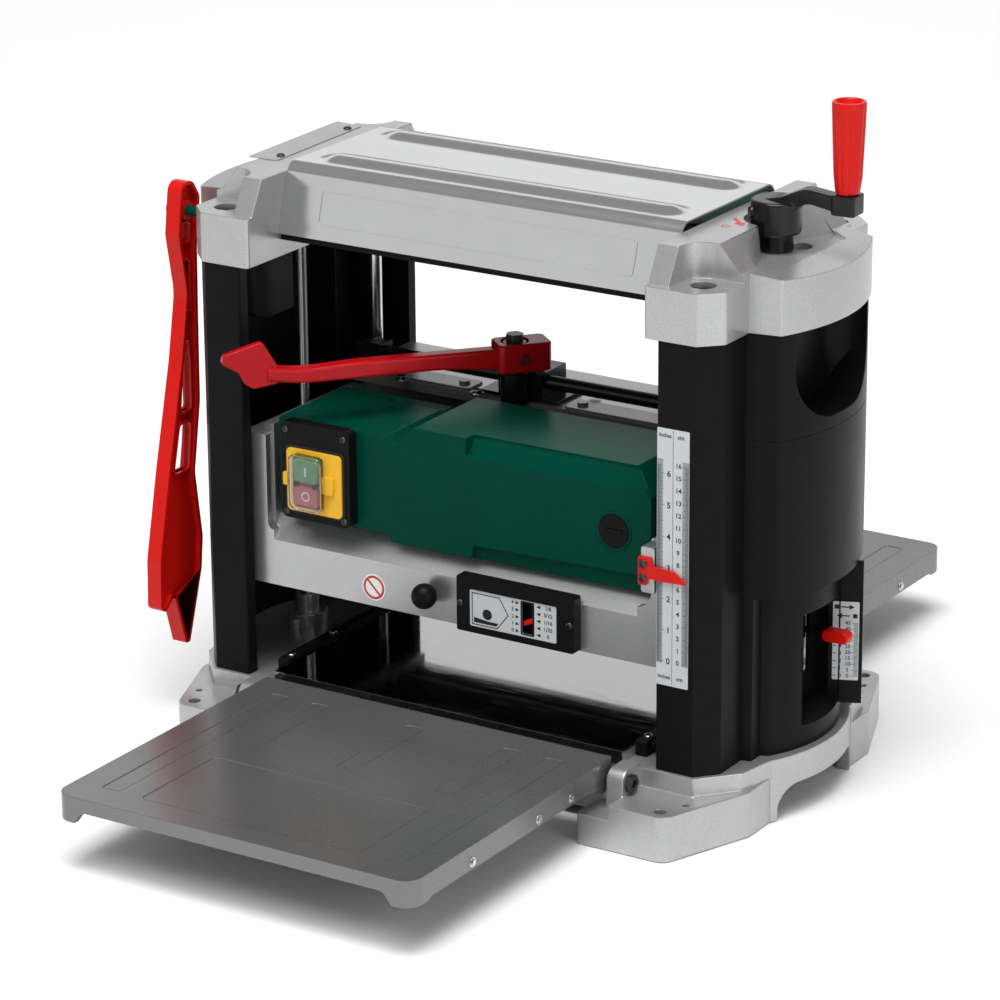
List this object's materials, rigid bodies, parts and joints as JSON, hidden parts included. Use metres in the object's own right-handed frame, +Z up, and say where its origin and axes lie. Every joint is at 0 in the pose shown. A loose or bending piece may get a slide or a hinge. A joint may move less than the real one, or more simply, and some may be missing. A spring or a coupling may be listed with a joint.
{
  "type": "thickness planer",
  "caption": "Portable bench thickness planer: motorised cutter carriage on guide posts above a flat table, raised by twin lead screws from a top crank, with fold-up feed tables.",
  "frame": {"origin": "centre of the four base bolt holes, on the plane the base stands on", "axes": "+X along the cutterhead towards the crank side, -Y towards the infeed side, +Z up"},
  "size_m": [0.5844, 0.854, 0.5704],
  "materials": {
    "silver_casting": "fine satin cast finish",
    "black_paint": "fine matte black powder coat",
    "black_plastic": "matte moulded plastic",
    "green_plastic": "satin moulded plastic",
    "red_plastic": "satin moulded plastic",
    "red_paint": "satin enamel",
    "grey_casting": "satin grey casting",
    "polished_sheet": "polished sheet",
    "silver_sheet": "satin silver paint",
    "bright_steel": "bright ground steel",
    "dark_steel": "dark oiled steel",
    "drive_rubber": "matte rubber",
    "roller_rubber": "matte rubber",
    "yellow_plastic": "gloss",
    "green_button": "gloss",
    "red_button": "gloss",
    "clear_plastic": "clear",
    "copper_core": "wound core",
    "white_plastic": "satin"
  },
  "bodies": {
    "frame": {"base_casting": "silver_casting", "main_table": "polished_sheet", "table_rails": "black_paint", "hinge_pins": "dark_steel", "column_front_right": "black_paint", "column_rear_right": "black_paint", "column_front_left": "black_paint", "column_rear_left": "black_paint", "guide_posts": "bright_steel", "right_upper_cover": "black_plastic", "left_upper_cover": "black_plastic", "right_lower_cover": "black_plastic", "left_lower_cover": "black_plastic", "right_cap": "silver_casting", "left_cap": "silver_casting", "cap_bolts": "dark_steel", "top_cover": "silver_sheet", "top_frame": "black_paint", "screw_bearings": "bright_steel", "drive_chain": "dark_steel", "push_stick_peg": "green_plastic"},
    "carriage": {"carriage_casting": "silver_casting", "feed_nuts": "bright_steel", "motor_housing": "green_plastic", "brush_cap": "black_plastic", "motor_stator": "copper_core", "drive_belt": "drive_rubber", "spindle_bearings": "bright_steel", "switch_box": "black_plastic", "switch_plate": "yellow_plastic", "gauge_housing": "black_plastic", "height_pointer": "red_plastic", "carriage_screws": "dark_steel", "deck_strips": "silver_sheet", "rod_bracket": "black_paint", "chip_hood": "black_plastic", "lead_gland": "black_plastic"},
    "crank": {"crank_arm": "black_paint", "right_lead_screw": "bright_steel"},
    "grip": {"crank_grip": "red_plastic"},
    "left_screw": {"left_lead_screw": "bright_steel"},
    "cutter": {"cutterhead": "bright_steel", "planer_knives": "bright_steel"},
    "rotor": {"motor_rotor": "bright_steel", "motor_fan": "black_plastic"},
    "feed_in": {"infeed_roller": "roller_rubber"},
    "feed_out": {"outfeed_roller": "roller_rubber"},
    "fingers": {"kickback_fingers": "dark_steel"},
    "lever": {"lock_lever": "red_paint", "lever_spindle": "dark_steel"},
    "rod": {"torsion_rod": "black_paint"},
    "start": {"start_button": "green_button"},
    "stop": {"stop_button": "red_button"},
    "flap": {"switch_flap": "clear_plastic"},
    "gauge": {"gauge_pointer": "red_plastic"},
    "knob": {"ball_knob": "black_plastic"},
    "infeed": {"infeed_table": "grey_casting"},
    "outfeed": {"outfeed_table": "grey_casting"},
    "stick": {"push_stick": "red_plastic"},
    "depth_stop": {"depth_stop_lever": "red_plastic"}
  },
  "joints": [
    {"name": "carriage_height", "type": "slide", "parent": "frame", "child": "carriage", "axis": [0, 0, 1], "range_m": [-0.063, 0.086]},
    {"name": "crank_turn", "type": "hinge", "parent": "frame", "child": "crank", "pos_m": [0.224, 0, 0.2], "axis": [0, 0, 1], "range_deg": [-14200, 19400]},
    {"name": "left_screw_turn", "type": "hinge", "parent": "frame", "child": "left_screw", "pos_m": [-0.224, 0, 0.2], "axis": [0, 0, 1], "range_deg": [-14200, 19400]},
    {"name": "grip_spin", "type": "hinge", "parent": "crank", "child": "grip", "pos_m": [0.28396, 0.00209, 0.53], "axis": [0, 0, 1], "continuous": true},
    {"name": "cutter_spin", "type": "hinge", "parent": "carriage", "child": "cutter", "pos_m": [0, 0, 0.153], "axis": [1, 0, 0], "continuous": true},
    {"name": "rotor_spin", "type": "hinge", "parent": "carriage", "child": "rotor", "pos_m": [0, -0.05, 0.236], "axis": [1, 0, 0], "continuous": true},
    {"name": "infeed_roller_spin", "type": "hinge", "parent": "carriage", "child": "feed_in", "pos_m": [0, -0.055, 0.1453], "axis": [1, 0, 0], "continuous": true},
    {"name": "outfeed_roller_spin", "type": "hinge", "parent": "carriage", "child": "feed_out", "pos_m": [0, 0.055, 0.1453], "axis": [1, 0, 0], "continuous": true},
    {"name": "finger_swing", "type": "hinge", "parent": "carriage", "child": "fingers", "pos_m": [0, -0.088, 0.168], "axis": [1, 0, 0], "range_deg": [0, 18]},
    {"name": "lock_swing", "type": "hinge", "parent": "carriage", "child": "lever", "pos_m": [-0.024, 0.016, 0.3], "axis": [0, 0, 1], "range_deg": [0, 60]},
    {"name": "rod_turn", "type": "hinge", "parent": "carriage", "child": "rod", "pos_m": [0, 0.032, 0.294], "axis": [1, 0, 0], "range_deg": [0, 15.5]},
    {"name": "start_press", "type": "slide", "parent": "carriage", "child": "start", "axis": [0, 1, 0], "range_m": [0, 0.003], "stiffness_N_per_m": 900},
    {"name": "stop_press", "type": "slide", "parent": "carriage", "child": "stop", "axis": [0, 1, 0], "range_m": [0, 0.003], "stiffness_N_per_m": 900},
    {"name": "flap_open", "type": "hinge", "parent": "carriage", "child": "flap", "pos_m": [-0.135, -0.1255, 0.2575], "axis": [-1, 0, 0], "range_deg": [0, 100]},
    {"name": "gauge_slide", "type": "slide", "parent": "carriage", "child": "gauge", "axis": [0, 0, 1], "range_m": [0, 0.012]},
    {"name": "knob_pull", "type": "slide", "parent": "carriage", "child": "knob", "axis": [0, -1, 0], "range_m": [0, 0.008], "stiffness_N_per_m": 500},
    {"name": "infeed_fold", "type": "hinge", "parent": "frame", "child": "infeed", "pos_m": [0, -0.15, 0.0467], "axis": [-1, 0, 0], "range_deg": [0, 75]},
    {"name": "outfeed_fold", "type": "hinge", "parent": "frame", "child": "outfeed", "pos_m": [0, 0.15, 0.0467], "axis": [1, 0, 0], "range_deg": [0, 75]},
    {"name": "stick_swing", "type": "hinge", "parent": "frame", "child": "stick", "pos_m": [-0.273, -0.0945, 0.431], "axis": [-1, 0, 0], "range_deg": [0, 40]},
    {"name": "depth_stop_slide", "type": "slide", "parent": "frame", "child": "depth_stop", "axis": [0, 0, 1], "range_m": [-0.027, 0.018]}
  ],
  "couplings": [
    {"joint": "crank_turn", "follows": "carriage_height", "rad_per_m": 3927},
    {"joint": "left_screw_turn", "follows": "carriage_height", "rad_per_m": 3927},
    {"joint": "rotor_spin", "follows": "cutter_spin", "ratio": 1.793},
    {"joint": "infeed_roller_spin", "follows": "cutter_spin", "ratio": -0.02},
    {"joint": "outfeed_roller_spin", "follows": "cutter_spin", "ratio": -0.02},
    {"joint": "rod_turn", "follows": "lock_swing", "ratio": 0.25}
  ]
}
